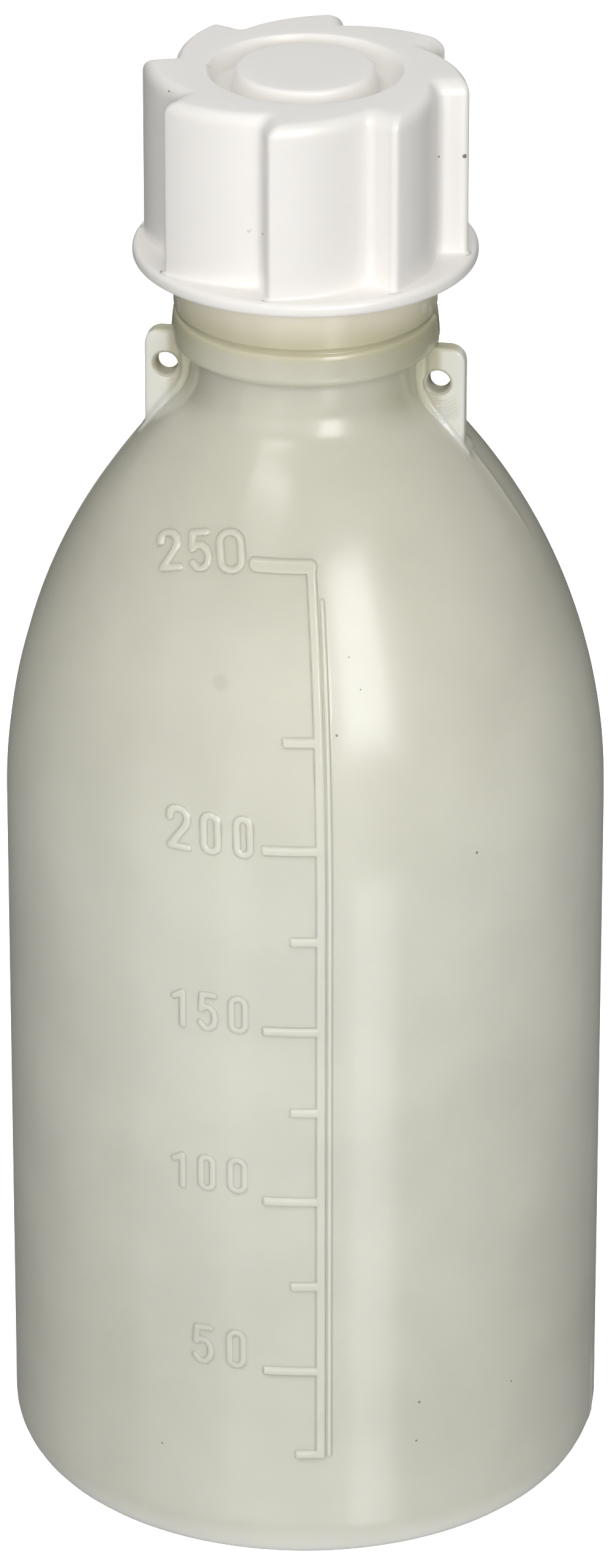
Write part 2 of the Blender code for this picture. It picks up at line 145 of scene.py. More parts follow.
# Marks as (height, left end), and digits as (digit, left, right, bottom, top), in millimetres
MARKS = ((13.8, -4.0), (23.5, -7.2), (33.3, -4.5), (43.0, -7.2), (53.1, -4.5),
         (62.2, -7.2), (72.2, -4.5), (82.0, -7.2), (92.8, -4.95), (108.5, -7.4))
DIGITS = (
    ("2", -15.98, -13.68, 106.85, 111.45), ("5", -13.12, -10.86, 106.6, 111.25),
    ("0", -10.45, -7.76, 106.15, 111.1),
    ("2", -16.35, -13.95, 81.0, 85.6), ("0", -13.15, -11.10, 81.0, 85.4),
    ("0", -10.00, -8.00, 81.0, 85.4),
    ("1", -16.10, -14.60, 61.4, 65.8), ("5", -13.60, -11.50, 61.5, 65.9),
    ("0", -10.65, -8.60, 61.6, 65.9),
    ("1", -16.20, -14.70, 43.2, 47.4), ("0", -13.65, -11.80, 43.4, 47.6),
    ("0", -10.80, -8.70, 43.5, 47.7),
    ("5", -14.30, -12.05, 23.4, 28.0), ("0", -10.95, -8.90, 23.4, 27.9),
)
# Centre lines of the digits in a box one wide and one high; the nought is drawn to its box
DIGIT_LINES = {
    "1": ((0.0, 0.84), (1.0, 1.0), (1.0, 0.0)),
    "2": ((0.0, 0.74), (0.05, 0.89), (0.24, 0.98), (0.5, 1.0), (0.78, 0.97), (0.97, 0.84),
          (0.98, 0.70), (0.84, 0.54), (0.0, 0.0), (1.0, 0.0)),
    "5": ((0.95, 1.0), (0.12, 1.0), (0.04, 0.55), (0.28, 0.64), (0.62, 0.64), (0.9, 0.52),
          (1.0, 0.33), (0.91, 0.12), (0.62, 0.0), (0.3, 0.0), (0.0, 0.15)),
}

# Sizes of the cap
CAP_TOP = RIM_Z + 1.8 * MM
CAP_FOOT = CAP_TOP - 19.6 * MM
# Clearance between the cap and the bottle
CAP_GAP = 0.3 * MM
DECK = 1.5 * MM
TEETH = 8
TOOTH_PITCH = TURN / TEETH
# Mesh columns of one tooth, and those where the root's round, the step and the tip's round end
TOOTH_COLUMNS = 48
ROOT_END, STEP_END, TIP_END = 6, 10, 19
TIP_R = 16.4 * MM
ROOT_R = 13.7 * MM
TIP_ROUND = 0.6 * MM
ROOT_ROUND = 0.9 * MM
FLANK_SLOPE = 0.2
TOOTH_PHASE = math.radians(-96.0)
TIP_LEAD = math.radians(2.2)
# Angles that the rounds of tip and root take up beside the step
TIP_ANGLE = TIP_ROUND * (1 + math.sin(FLANK_SLOPE)) / TIP_R
ROOT_ANGLE = ROOT_ROUND * (1 + math.sin(FLANK_SLOPE)) / ROOT_R
CROWN_ROUND = 1.5 * MM
CROWN_STEPS = 10
SKIRT_ROWS = 10
FOOT_ROUND = 0.35 * MM
FOOT_STEPS = 5
FLANGE_R = 17.2 * MM
FLANGE_THICKNESS = 1.5 * MM
FLANGE_ROUND = 0.6 * MM
GROOVE_OUTER_R = 9.65 * MM
GROOVE_INNER_R = 6.95 * MM
GROOVE_DEPTH = 2.0 * MM
GROOVE_DRAFT = 0.35 * MM
DISC_RISE = 0.2 * MM
DISC_ROUND = 0.5 * MM
PLUG_WALL = 1.3 * MM
PLUG_R = BORE_R - CAP_GAP
PLUG_REACH = 3.2 * MM
PLUG_TAPER = 0.25 * MM
PLUG_ROUND = 0.4 * MM
CAP_BORE_R = 12.6 * MM
RECESS_R = COLLAR_R + CAP_GAP
# Rounding of the cap's small edges and inner corners
CAP_EDGE = 0.2 * MM
CAP_FILLET = 0.3 * MM
# The cap's thread runs between the turns of the neck's, half a pitch away
CAP_THREAD_SHIFT = 0.5
# On the roof the columns of a tooth's tip are spread this much wider than on the skirt
ROOF_SPREAD = 1.3

# Camera, from the ellipses of base, bead, flange and cap in the photograph. Its focal length is
# 14000 pixels of the 2560 that the frame is high.
VIEW_PITCH = math.radians(25.58)
VIEW_TURN = math.radians(10.0)
VIEW_DISTANCE = 875.9 * MM
VIEW_AIM = 75.0 * MM
SENSOR = 36.0
VIEW_LENS = 14000.0 * SENSOR / 2560.0


def arc(centre_x, centre_z, radius, start, end, steps):
    """Points (radius, height) on an arc of a profile, both ends included."""
    turn = [start + (end - start) * i / steps for i in range(steps + 1)]
    return [(centre_x + radius * math.cos(a), centre_z + radius * math.sin(a)) for a in turn]


def line(start, end, steps):
    """Points of a straight stretch of a profile, without its first point."""
    (x0, z0), (x1, z1) = start, end
    return [(x0 + (x1 - x0) * i / steps, z0 + (z1 - z0) * i / steps)
            for i in range(1, steps + 1)]


def smooth_step(value):
    value = min(max(value, 0.0), 1.0)
    return value * value * (3 - 2 * value)


def spun(profile, steps):
    """A profile turned round Z. Every vertex keeps the number of its point in the profile."""
    bm = bmesh.new()
    ring = bm.verts.layers.int.new("ring")
    verts = []
    for number, (x, z) in enumerate(profile):
        vert = bm.verts.new((x, 0, z))
        vert[ring] = number
        verts.append(vert)
    edges = [bm.edges.new(pair) for pair in zip(verts, verts[1:])]
    bmesh.ops.spin(bm, geom=verts + edges, cent=(0, 0, 0), axis=(0, 0, 1), angle=TURN,
                   steps=steps, use_merge=True)
    bmesh.ops.remove_doubles(bm, verts=bm.verts[:], dist=0.001 * MM)
    bmesh.ops.recalc_face_normals(bm, faces=bm.faces[:])
    return bm, ring


def finished(bm, name, material=None):
    """A smooth-shaded object in the scene from a bmesh, which is freed."""
    mesh = bpy.data.meshes.new(name)
    bm.to_mesh(mesh)
    bm.free()
    mesh.shade_smooth()
    item = bpy.data.objects.new(name, mesh)
    bpy.context.scene.collection.objects.link(item)
    if material:
        mesh.materials.append(material)
    return item


def settled(item):
    """Apply the object's modifiers, so that its mesh is its final form."""
    bpy.context.view_layer.update()
    graph = bpy.context.evaluated_depsgraph_get()
    mesh = bpy.data.meshes.new_from_object(item.evaluated_get(graph))
    item.modifiers.clear()
    item.data = mesh
    return item


def combined(item, other, operation):
    """Join or cut a mesh with another, which is then removed."""
    step = item.modifiers.new("Join", "BOOLEAN")
    step.operation = operation
    step.object = other
    step.solver = "MANIFOLD"
    settled(item)
    bpy.data.objects.remove(other)
    return item


# The bottle ---------------------------------------------------------------------------------

def skin(offset):
    """Outer skin from the waist down to the heel, moved out by offset."""
    points = arc(BLEND_X, BLEND_Z, WAIST_BLEND - offset, math.pi, math.pi + BLEND_ANGLE, 6)
    points += arc(SHOULDER_X, SHOULDER_Z, SHOULDER_R + offset, BLEND_ANGLE, 0, 40)[1:]
    points += line(points[-1], (BODY_R + offset, HEEL_R), 50)
    points += arc(BODY_R - HEEL_R, HEEL_R, HEEL_R + offset, 0, -math.pi / 2, 10)[1:]
    return points


def dome(edge_z, top_z, steps):
    """Pushed-up base from its edge to the axis, as (radius, height)."""
    edge_r = RING_R - PUSH_UP_LIP
    rise = top_z - edge_z
    radius = (edge_r ** 2 + rise ** 2) / (2 * rise)
    start = math.pi / 2 - math.asin(edge_r / radius)
    return arc(0, top_z - radius, radius, start, math.pi / 2, steps)[:-1] + [(0, top_z)]


def neck_outside():
    """Rim, plain neck, collar, groove and bead, down to the waist."""
    points = arc(BORE_R + RIM_ROUND, RIM_Z - RIM_ROUND, RIM_ROUND, math.pi, math.pi / 2, 3)
    points += arc(NECK_R - RIM_ROUND, RIM_Z - RIM_ROUND, RIM_ROUND, math.pi / 2, 0, 3)
    points += line(points[-1], (NECK_R, COLLAR_TOP + COLLAR_FILLET), 60)
    points += [(NECK_R + 0.08 * MM, COLLAR_TOP + 0.08 * MM),
               (NECK_R + COLLAR_FILLET, COLLAR_TOP)]
    points += arc(COLLAR_R - RIM_ROUND, COLLAR_TOP - RIM_ROUND, RIM_ROUND, math.pi / 2, 0, 4)
    points += line(points[-1], (COLLAR_R, GROOVE_Z + 1.0 * MM), 5)
    points += [(COLLAR_R - inwards * MM, GROOVE_Z + up * MM) for up, inwards in GROOVE_SECTION]
    points += [(COLLAR_R + out * MM, GROOVE_Z - down * MM) for down, out in NECK_FOOT]
    points += arc(BEAD_R - BEAD_ROUND, BEAD_Z + BEAD_ROUND, BEAD_ROUND, 0, -math.pi / 2, 8)
    under = BEAD_R - BEAD_ROUND - WAIST_R
    points += arc(WAIST_R + under, BEAD_Z - under, under, math.pi / 2, math.pi, 7)[1:]
    return points


def bottle_inside():
    """Inner skin from the middle of the floor up to the rim."""
    points = dome(FLOOR + PUSH_UP_LIP, FLOOR + PUSH_UP, 8)[::-1]
    points += [(RING_R, FLOOR)]
    heel = HEEL_R - WALL
    points += arc(BODY_R - HEEL_R, FLOOR + heel, heel, -math.pi / 2, 0, 5)
    points += line(points[-1], (BODY_R - WALL, SHOULDER_Z), 8)
    points += arc(SHOULDER_X, SHOULDER_Z, SHOULDER_R - WALL, 0, BLEND_ANGLE, 14)[1:]
    points += arc(BLEND_X, BLEND_Z, WAIST_BLEND + WALL, math.pi + BLEND_ANGLE, math.pi, 5)[1:]
    points += line((BORE_R, BEAD_Z + BEAD_ROUND), (BORE_R, RIM_Z - RIM_ROUND - 0.5 * MM), 4)
    return points


def thread_rise(angle, z, shift=0.0):
    """How far a right-hand thread's rounded ridge stands at this place, from 0 to 1."""
    turns = (z - THREAD_START) / THREAD_PITCH - angle / TURN - shift
    off = turns - round(turns)
    along = (z - THREAD_START) / THREAD_PITCH - off
    rise = smooth_step((THREAD_FOOT - abs(off) * THREAD_PITCH) / (THREAD_FOOT - THREAD_CREST))
    fade_in = smooth_step(along / THREAD_FADE)
    fade_out = smooth_step((THREAD_TURNS - along) / THREAD_FADE)
    return rise * (fade_in * fade_out)


def segment_distance(x, z, start, end, blunt):
    """Distance from a stroke's line; round its ends, or nearly square if blunt."""
    (x0, z0), (x1, z1) = start, end
    dx, dz = x1 - x0, z1 - z0
    length = dx * dx + dz * dz
    share = 0.0 if length == 0 else min(max(((x - x0) * dx + (z - z0) * dz) / length, 0), 1)
    off_x, off_z = x - x0 - dx * share, z - z0 - dz * share
    if blunt:
        return (off_x ** 6 + off_z ** 6) ** (1 / 6)
    return math.hypot(off_x, off_z)


def digit_line(digit, left, right, bottom, top):
    """Centre line of a digit whose outer edges fill the box."""
    half = (DIGIT_STROKE + SCALE_EDGE / 2) / 2
    left, bottom = left * MM + half, bottom * MM + half
    width, height = right * MM - half - left, top * MM - half - bottom
    if digit != "0":
        return [(left + x * width, bottom + z * height) for x, z in DIGIT_LINES[digit]]
    radius = width / 2
    loop = arc(left + radius, bottom + height - radius, radius, 0, math.pi, 8)
    loop += arc(left + radius, bottom + radius, radius, math.pi, TURN, 8)
    return loop + loop[:1]


def scale_strokes():
    """Every stroke of the raised scale: its line, reach, height, box, if blunt and if sloped."""
    low, high = MARKS[0][0] * MM, MARKS[-1][0] * MM
    rib, rib_width, rib_height = STEM_RIB
    lines = [([(STEM, low), (STEM, high)], STROKE, SCALE_RELIEF, True, False),
             ([(rib, low), (rib, high - STEM_RIB_SHORT)], rib_width, rib_height, True, False)]
    for z, left in MARKS:
        level = z < SLOPED_FROM
        width = STROKE if level else SLOPED_STROKE
        lines.append(([(STEM, z * MM), (left * MM + width / 2, z * MM)], width, SCALE_RELIEF,
                      level, False))
    for box in DIGITS:
        height = next(rise for above, rise in DIGIT_RELIEF if box[3] > above)
        lines.append((digit_line(*box), DIGIT_STROKE, height, False, box[3] > SLOPED_FROM))
    strokes = []
    for points, width, height, blunt, sloped in lines:
        reach = (width + SCALE_EDGE) / 2
        xs, zs = [p[0] for p in points], [p[1] for p in points]
        box = (min(xs) - reach, max(xs) + reach, min(zs) - reach, max(zs) + reach)
        strokes.append((list(zip(points, points[1:])), reach, height, box, blunt, sloped))
    return strokes


def stroke_distance(stroke, x, z, out, margin):
    """Distance of a place from a stroke's line, or None if it lies beyond its box."""
    segments, _, _, (left, right, low, high), blunt, sloped = stroke
    if sloped:
        z -= (out - SHOULDER_OUT) * math.tan(SHOULDER_TILT)
    if not (left - margin < x < right + margin and low - margin < z < high + margin):
        return None
    return min(segment_distance(x, z, a, b, blunt) for a, b in segments)


def relief(strokes, x, z, out):
    """Height of the raised scale at a place in its own frame, with soft shoulders."""
    best = 0.0
    for stroke in strokes:
        near = stroke_distance(stroke, x, z, out, 0.0)
        if near is not None:
            best = max(best, stroke[2] * smooth_step((stroke[1] - near) / SCALE_EDGE))
    return best


def skin_radius(z):
    if z <= SHOULDER_Z:
        return BODY_R
    return SHOULDER_X + math.sqrt(SHOULDER_R ** 2 - (z - SHOULDER_Z) ** 2)


def raise_scale(bm):
    """Refine the skin near the strokes of the scale, round by round, and lift it there."""
    strokes = scale_strokes()
    across = Vector((math.cos(SCALE_TURN), math.sin(SCALE_TURN), 0))
    outwards = Vector((math.sin(SCALE_TURN), -math.cos(SCALE_TURN), 0))

    def on_front(place):
        radius = math.hypot(place.x, place.y)
        return (SCALE_ZONE[0] < place.z < SCALE_ZONE[1] and place.dot(outwards) > SCALE_FRONT
                and radius > skin_radius(place.z) - WALL / 2)

    def touched(face):
        centre = face.calc_center_median()
        if not on_front(centre):
            return False
        half = (face.verts[0].co - centre).length
        x, z, out = centre.dot(across), centre.z, centre.dot(outwards)
        for stroke in strokes:
            near = stroke_distance(stroke, x, z, out, half)
            if near is not None and near < stroke[1] + half:
                return True
        return False

    for _ in range(SCALE_ROUNDS):
        edges = {edge for face in bm.faces if touched(face) for edge in face.edges}
        bmesh.ops.subdivide_edges(bm, edges=list(edges), cuts=1, use_grid_fill=True)
    for vert in bm.verts:
        if on_front(vert.co):
            x, y, z = vert.co
            radius = skin_radius(z)
            tilt = radius - SHOULDER_X if z > SHOULDER_Z else SHOULDER_R
            lift = relief(strokes, vert.co.dot(across), z, vert.co.dot(outwards))
            radius += lift * SHOULDER_R / tilt
            scale = radius / math.hypot(x, y)
            vert.co = (x * scale, y * scale, z)


def bottle_shell():
    """Body, shoulder and neck as one closed wall, with thread, parting line and scale."""
    inside = bottle_inside()
    outside = neck_outside() + skin(0)
    # The flat ring that the bottle stands on, its inner edge rounded in two steps
    base = line(outside[-1], (RING_R, 0), 3)
    base += [(RING_R - 0.1 * MM, 0.02 * MM), (RING_R - 0.25 * MM, 0.15 * MM)]
    base += line(base[-1], (RING_R - PUSH_UP_LIP, PUSH_UP_LIP), 3)
    base_from = len(inside) + len(outside)
    dome_from = base_from + len(base)
    base += dome(PUSH_UP_LIP, PUSH_UP, 14)[1:]
    bm, ring = spun(inside + outside + base, COLUMNS)
    for vert in bm.verts:
        x, y, z = vert.co
        radius = math.hypot(x, y)
        angle = math.atan2(y, x)
        outer = vert[ring] >= len(inside)
        if outer and z > COLLAR_TOP + COLLAR_FILLET and radius > NECK_R - SAME:
            radius += THREAD_DEPTH * thread_rise(angle, z)
        column = round(angle / TURN * COLUMNS) % (COLUMNS // 2)
        column = min(column, COLUMNS // 2 - column)
        if column < len(PARTING_COLUMNS) and radius > AXIS_CLEAR:
            if outer and column < len(PARTING_RIDGE) and vert[ring] < base_from:
                radius += PARTING_RIDGE[column]
            y = math.copysign(min(PARTING_COLUMNS[column], abs(radius * math.sin(angle))), y)
            x = math.copysign(math.sqrt(radius ** 2 - y ** 2), x)
        else:
            x, y = radius * math.cos(angle), radius * math.sin(angle)
        if vert[ring] >= dome_from and abs(y) < SCAR_WIDTH and abs(x) < SCAR_REACH:
            z -= SCAR_HEIGHT
        vert.co = (x, y, z)
    raise_scale(bm)
    return bm


def plate(bm, outline, thickness):
    """A flat outline on the parting plane, as thick to both sides."""
    verts = [bm.verts.new((x, -thickness / 2, z)) for x, z in outline]
    face = bm.faces.new(verts)
    grown = bmesh.ops.extrude_face_region(bm, geom=[face])["geom"]
    bmesh.ops.translate(bm, verts=[g for g in grown if isinstance(g, bmesh.types.BMVert)],
                        vec=(0, thickness, 0))


def ear_blank():
    """One ear with its thick root and a strip of wall that it grows out of."""
    corner = EAR_REACH + EAR_SHRINK - EAR_CORNER
    across = EAR_REACH - SHOULDER_X
    foot = SHOULDER_Z + math.sqrt((SHOULDER_R - WALL / 2) ** 2 - across ** 2)
    lower = [p for p in skin(-WALL / 2) if p[1] > foot]
    ear = [(WAIST_R + WALL / 2, EAR_TOP)]
    ear += arc(corner, EAR_TOP - EAR_CORNER, EAR_CORNER, math.pi / 2, 0, 8)
    ear += [(EAR_REACH + EAR_SHRINK, foot)] + lower[::-1]

    flare = [(WAIST_R + EAR_FLARE, BEAD_Z + BEAD_ROUND / 2)]
    for (x, z), (far_x, far_z) in zip(skin(0), skin(EAR_FLARE)):
        share = (z - foot) / (BLEND_Z - foot)
        if share > 0:
            flare.append((x + (far_x - x) * share, z + (far_z - z) * share))
    inner = [p for p in skin(-WALL / 2) if p[1] > foot - WALL]
    flare += inner[::-1] + [(WAIST_R - WALL / 2, BEAD_Z + BEAD_ROUND / 2)]

    bm = bmesh.new()
    near, far = [[p for p in skin(-depth) if p[1] > foot - EAR_STRIP_DROP]
                 for depth in EAR_STRIP]
    face = bm.faces.new([bm.verts.new((x, 0, z)) for x, z in near + far[::-1]])
    bmesh.ops.rotate(bm, cent=(0, 0, 0), matrix=Matrix.Rotation(-EAR_STRIP_TURN, 3, "Z"),
                     verts=bm.verts[:])
    bmesh.ops.spin(bm, geom=[face], cent=(0, 0, 0), axis=(0, 0, 1), angle=2 * EAR_STRIP_TURN,
                   steps=26)
    plate(bm, ear, EAR_THICKNESS)
    plate(bm, flare, EAR_THICKNESS + EAR_FLARE)
    bmesh.ops.recalc_face_normals(bm, faces=bm.faces[:])
    return bm


def sealing_ear(name, turn):
    """An ear grown together with its root, rounded as moulded, and pierced."""
    item = finished(ear_blank(), name)
    remesh = item.modifiers.new("Grow", "REMESH")
    remesh.mode = "VOXEL"
    remesh.voxel_size = EAR_VOXEL
    settled(item)
    bm = bmesh.new()
    bm.from_mesh(item.data)
    for _ in range(EAR_SMOOTHINGS):
        bmesh.ops.smooth_vert(bm, verts=bm.verts[:], factor=0.5, use_axis_x=True,
                              use_axis_y=True, use_axis_z=True)
    bmesh.ops.rotate(bm, cent=(0, 0, 0), matrix=Matrix.Rotation(turn, 3, "Z"),
                     verts=bm.verts[:])
    bm.to_mesh(item.data)
    bm.free()
    # The hole narrows to the back, from the core pin that moulds it. Each drill is given by its
    # radius in front and behind and by its start and end: clear in front and behind, the hole
    # itself, and its two broken edges.
    hole_x = EAR_HOLES_X[round(math.cos(turn))]
    face, edge = EAR_THICKNESS / 2, EAR_HOLE_EDGE
    mouth, mouth_edge = EAR_HOLE_MOUTH_R, EAR_HOLE_MOUTH_R + 2 * edge
    drills = ((mouth_edge, mouth_edge, -3 * face, -face),
              (EAR_HOLE_R, EAR_HOLE_R, -face, 3 * face),
              (mouth, EAR_HOLE_R, -face, face),
              (mouth_edge, mouth, -face - edge, -face + edge),
              (EAR_HOLE_R, EAR_HOLE_R + 2 * edge, face - edge, face + edge))
    for front, back, start, end in drills:
        bm = bmesh.new()
        place = Matrix.Translation((hole_x, (start + end) / 2, EAR_HOLE_Z))
        place = place @ Matrix.Rotation(math.pi / 2, 4, "X")
        bmesh.ops.create_cone(bm, cap_ends=True, segments=64, radius1=back, radius2=front,
                              depth=end - start, matrix=place)
        combined(item, finished(bm, "drill"), "DIFFERENCE")
    return item


def make_bottle(material):
    bottle = finished(bottle_shell(), "bottle_wall", material)
    for name, turn in (("ear_right", 0.0), ("ear_left", math.pi)):
        combined(bottle, sealing_ear(name, turn), "UNION")
    bottle.data.materials.clear()
    bottle.data.materials.append(material)
    bottle.data.shade_smooth()
    bottle.name = "bottle_moulding"
    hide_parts("bottle")
    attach(bottle, "bottle")
    return bottle


# The cap ------------------------------------------------------------------------------------

def foot_point(tooth, step, outset):
    """Outline of the fillet at the skirt's foot, twice as wide at the roots as at the tips."""
    radius, angle = tooth_point(tooth, step, 0.0)
    outset *= 1 + (TIP_R - radius) / (TIP_R - ROOT_R)
    return radius + outset, angle - outset / TIP_R


def tooth_point(tooth, step, inset):
    """Plan outline of the toothed skirt as (radius, angle), drawn in by inset."""
    start = TOOTH_PHASE + TOOTH_PITCH * tooth + inset / TIP_R
    tip, root = TIP_R - inset, ROOT_R - inset
    if step <= ROOT_END:
        turn = -FLANK_SLOPE + (math.pi / 2 + FLANK_SLOPE) * step / ROOT_END
        along = -ROOT_ROUND * (1 - math.sin(turn))
        return root + ROOT_ROUND * (1 - math.cos(turn)), start + along / ROOT_R
    if step < STEP_END:
        share = (step - ROOT_END) / (STEP_END - ROOT_END)
        low, high = root + ROOT_ROUND, tip - TIP_ROUND
        return low + (high - low) * share, start + TIP_LEAD * share
    if step <= TIP_END:
        turn = (math.pi / 2 + FLANK_SLOPE) * (step - STEP_END) / (TIP_END - STEP_END)
        along = TIP_ROUND * (1 - math.cos(turn))
        return tip - TIP_ROUND * (1 - math.sin(turn)), start + TIP_LEAD + along / TIP_R
    share = (step - TIP_END) / (TOOTH_COLUMNS - TIP_END)
    near_r = tip - TIP_ROUND * (1 - math.cos(FLANK_SLOPE))
    near_a = start + TIP_LEAD + TIP_ANGLE
    far_r = root + ROOT_ROUND * (1 - math.cos(FLANK_SLOPE))
    far_a = start + TOOTH_PITCH - ROOT_ANGLE
    return near_r + (far_r - near_r) * share, near_a + (far_a - near_a) * share


def cap_profile():
    """Closed section of the cap, and the inset of each point that follows the teeth."""
    disc = CAP_TOP + DISC_RISE
    points = line((0, disc), (GROOVE_INNER_R - DISC_ROUND, disc), 3)
    points = [(0, disc)] + points
    points += arc(GROOVE_INNER_R - DISC_ROUND, disc - DISC_ROUND, DISC_ROUND,
                  math.pi / 2, 0, 6)[1:]
    # The ring groove: both walls lean, and the corners of its floor are rounded in two steps
    floor = CAP_TOP - GROOVE_DEPTH
    inner, outer = GROOVE_INNER_R + GROOVE_DRAFT, GROOVE_OUTER_R - GROOVE_DRAFT
    points += line(points[-1], (inner - 0.06 * MM, floor + CAP_FILLET), 3)
    points += [(inner, floor + 0.1 * MM), (inner + 0.15 * MM, floor)]
    points += line(points[-1], (outer - 0.15 * MM, floor), 2)
    points += [(outer, floor + 0.1 * MM)]
    points += line(points[-1], (GROOVE_OUTER_R - 0.04 * MM, CAP_TOP - 0.25 * MM), 3)
    points += arc(GROOVE_OUTER_R + CAP_EDGE, CAP_TOP - CAP_EDGE, CAP_EDGE,
                  math.pi, math.pi / 2, 4)
    points += line(points[-1], (ROOT_R - CROWN_ROUND - 0.5 * MM, CAP_TOP), 2)
    insets = {}

    def toothed(inset, z):
        insets[len(points)] = inset
        points.append((TIP_R - inset, z))

    for i in range(CROWN_STEPS + 1):
        turn = math.pi / 2 * i / CROWN_STEPS
        toothed(CROWN_ROUND * (1 - math.sin(turn)), CAP_TOP - CROWN_ROUND * (1 - math.cos(turn)))
    foot = CAP_FOOT + FLANGE_THICKNESS
    low, high = foot + FOOT_ROUND, CAP_TOP - CROWN_ROUND
    for i in range(1, SKIRT_ROWS + 1):
        toothed(0.0, high + (low - high) * i / SKIRT_ROWS)
    for i in range(1, FOOT_STEPS + 1):
        turn = math.pi / 2 * i / FOOT_STEPS
        toothed(-FOOT_ROUND * (1 - math.cos(turn)), low - FOOT_ROUND * math.sin(turn))
    # The flange, the recess over the collar and the bore up to the roof's underside
    edge = FLANGE_R - FLANGE_ROUND
    points += arc(edge, foot - FLANGE_ROUND, FLANGE_ROUND, math.pi / 2, 0, 6)
    points += arc(edge, CAP_FOOT + FLANGE_ROUND, FLANGE_ROUND, 0, -math.pi / 2, 6)
    points += arc(RECESS_R + CAP_EDGE, CAP_FOOT + CAP_EDGE, CAP_EDGE, -math.pi / 2, -math.pi, 3)
    points += [(RECESS_R, COLLAR_TOP + CAP_GAP), (CAP_BORE_R, COLLAR_TOP + 0.8 * MM)]
    deck = CAP_TOP - DECK
    points += line(points[-1], (CAP_BORE_R, deck - CAP_FILLET), 50)
    points += [(CAP_BORE_R - 0.1 * MM, deck - 0.08 * MM), (CAP_BORE_R - CAP_FILLET, deck)]
    points += [(PLUG_R + 0.1 * MM, deck), (PLUG_R, deck - 0.15 * MM)]
    # The plug that seals the bore, tapered to its rounded lip
    lip = deck - PLUG_REACH
    points += line(points[-1], (PLUG_R - PLUG_TAPER, lip + 0.6 * MM), 3)
    points += arc(PLUG_R - PLUG_TAPER - PLUG_ROUND, lip + PLUG_ROUND, PLUG_ROUND,
                  0, -math.pi / 2, 4)
    inner = PLUG_R - PLUG_WALL
    points += [(inner + CAP_EDGE, lip), (inner, lip + CAP_EDGE)]
    # Inside the plug, under the ring groove and under the disc
    under = floor - PLUG_WALL
    points += line(points[-1], (inner, under - CAP_FILLET), 2)
    points += [(inner - CAP_FILLET, under)]
    recess, ceiling = GROOVE_INNER_R - PLUG_WALL, disc - PLUG_WALL
    points += [(recess + CAP_EDGE, under), (recess, under + CAP_EDGE)]
    points += [(recess, ceiling - CAP_EDGE), (recess - CAP_EDGE, ceiling), (0, ceiling)]
    return points, insets


def spread(step, knots):
    """A column's angle within its tooth, read off a table of (column, angle)."""
    for (low, start), (high, end) in zip(knots, knots[1:]):
        if step <= high:
            return start + (end - start) * (step - low) / (high - low)
    return knots[-1][1]


def make_cap(material):
    """The screw cap as one moulding, turned from its section and then toothed and threaded."""
    points, insets = cap_profile()
    columns = TEETH * TOOTH_COLUMNS
    crown = min(insets)
    before, after = -ROOT_ANGLE, TIP_LEAD + TIP_ANGLE
    # Round rings keep their columns beside the teeth's: inside the step above, outside it below
    last = (TOOTH_COLUMNS, TOOTH_PITCH + before)
    roof = ((0, before), (ROOT_END, 0.0), (TIP_END, ROOF_SPREAD * after), last)
    skirt = ((0, before), (STEP_END, TIP_LEAD), (TIP_END, after), last)
    bm, ring = spun(points, columns)
    for vert in bm.verts:
        x, y, z = vert.co
        radius = math.hypot(x, y)
        tooth, step = divmod(round(math.atan2(y, x) / TURN * columns) % columns, TOOTH_COLUMNS)
        if vert[ring] in insets:
            inset = insets[vert[ring]]
            if inset > 0:
                radius, angle = tooth_point(tooth, step, inset)
            else:
                radius, angle = foot_point(tooth, step, -inset)
        elif vert[ring] < crown:
            angle = TOOTH_PHASE + TOOTH_PITCH * tooth + CROWN_ROUND / TIP_R + spread(step, roof)
        else:
            angle = TOOTH_PHASE + TOOTH_PITCH * tooth + spread(step, skirt)
            if abs(radius - CAP_BORE_R) < SAME:
                radius -= THREAD_DEPTH * thread_rise(angle, z, CAP_THREAD_SHIFT)
        vert.co = (radius * math.cos(angle), radius * math.sin(angle), z)
    bmesh.ops.recalc_face_normals(bm, faces=bm.faces[:])
    cap = finished(bm, "screw_cap_moulding", material)
    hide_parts("screw_cap")
    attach(cap, "cap")
    return cap


# Materials ----------------------------------------------------------------------------------

# Small marks in the photograph, each as (x, y, z, radius) in millimetres
# Painted highlights: glints and a pale patch on the neck under the cap
NECK_PAINTED_GLINTS = ((12.58, -3.78, 129.94, 0.7), (12.95, -2.24, 128.9, 0.8),
          (-11.69, -6.01, 129.3, 0.9), (-12.2, -4.9, 130.4, 0.7))
FAINT_SPOTS = ((-3.98, -25.7, 97.88, 1.1),)
WALL_SPECKS = ((7.8, -26.52, 93.43, 0.18), (8.47, -23.4, 100.55, 0.11),
               (9.78, -24.28, 97.54, 0.11), (21.13, -21.76, 79.46, 0.2),
               (24.64, -17.98, 17.51, 0.15), (16.34, -25.75, 18.59, 0.19),
               (16.08, -25.91, 14.13, 0.16), (-9.82, -28.87, 12.93, 0.15))
CAP_SPECKS = ((13.65, -1.96, 145.31, 0.14), (16.06, -0.99, 145.16, 0.3),
              (-12.4, -6.6, 152.19, 0.15), (-12.1, -7.0, 152.2, 0.12),
              (-1.82, -13.77, 140.76, 0.12))
CAP_FLASH = ((-9.64, -0.81, 152.83, 0.4), (-9.49, 0.03, 152.5, 0.35),
             (9.5, -1.7, 152.9, 0.35), (9.2, -2.5, 152.9, 0.3),
             (-3.19, -13.55, 140.96, 0.35))
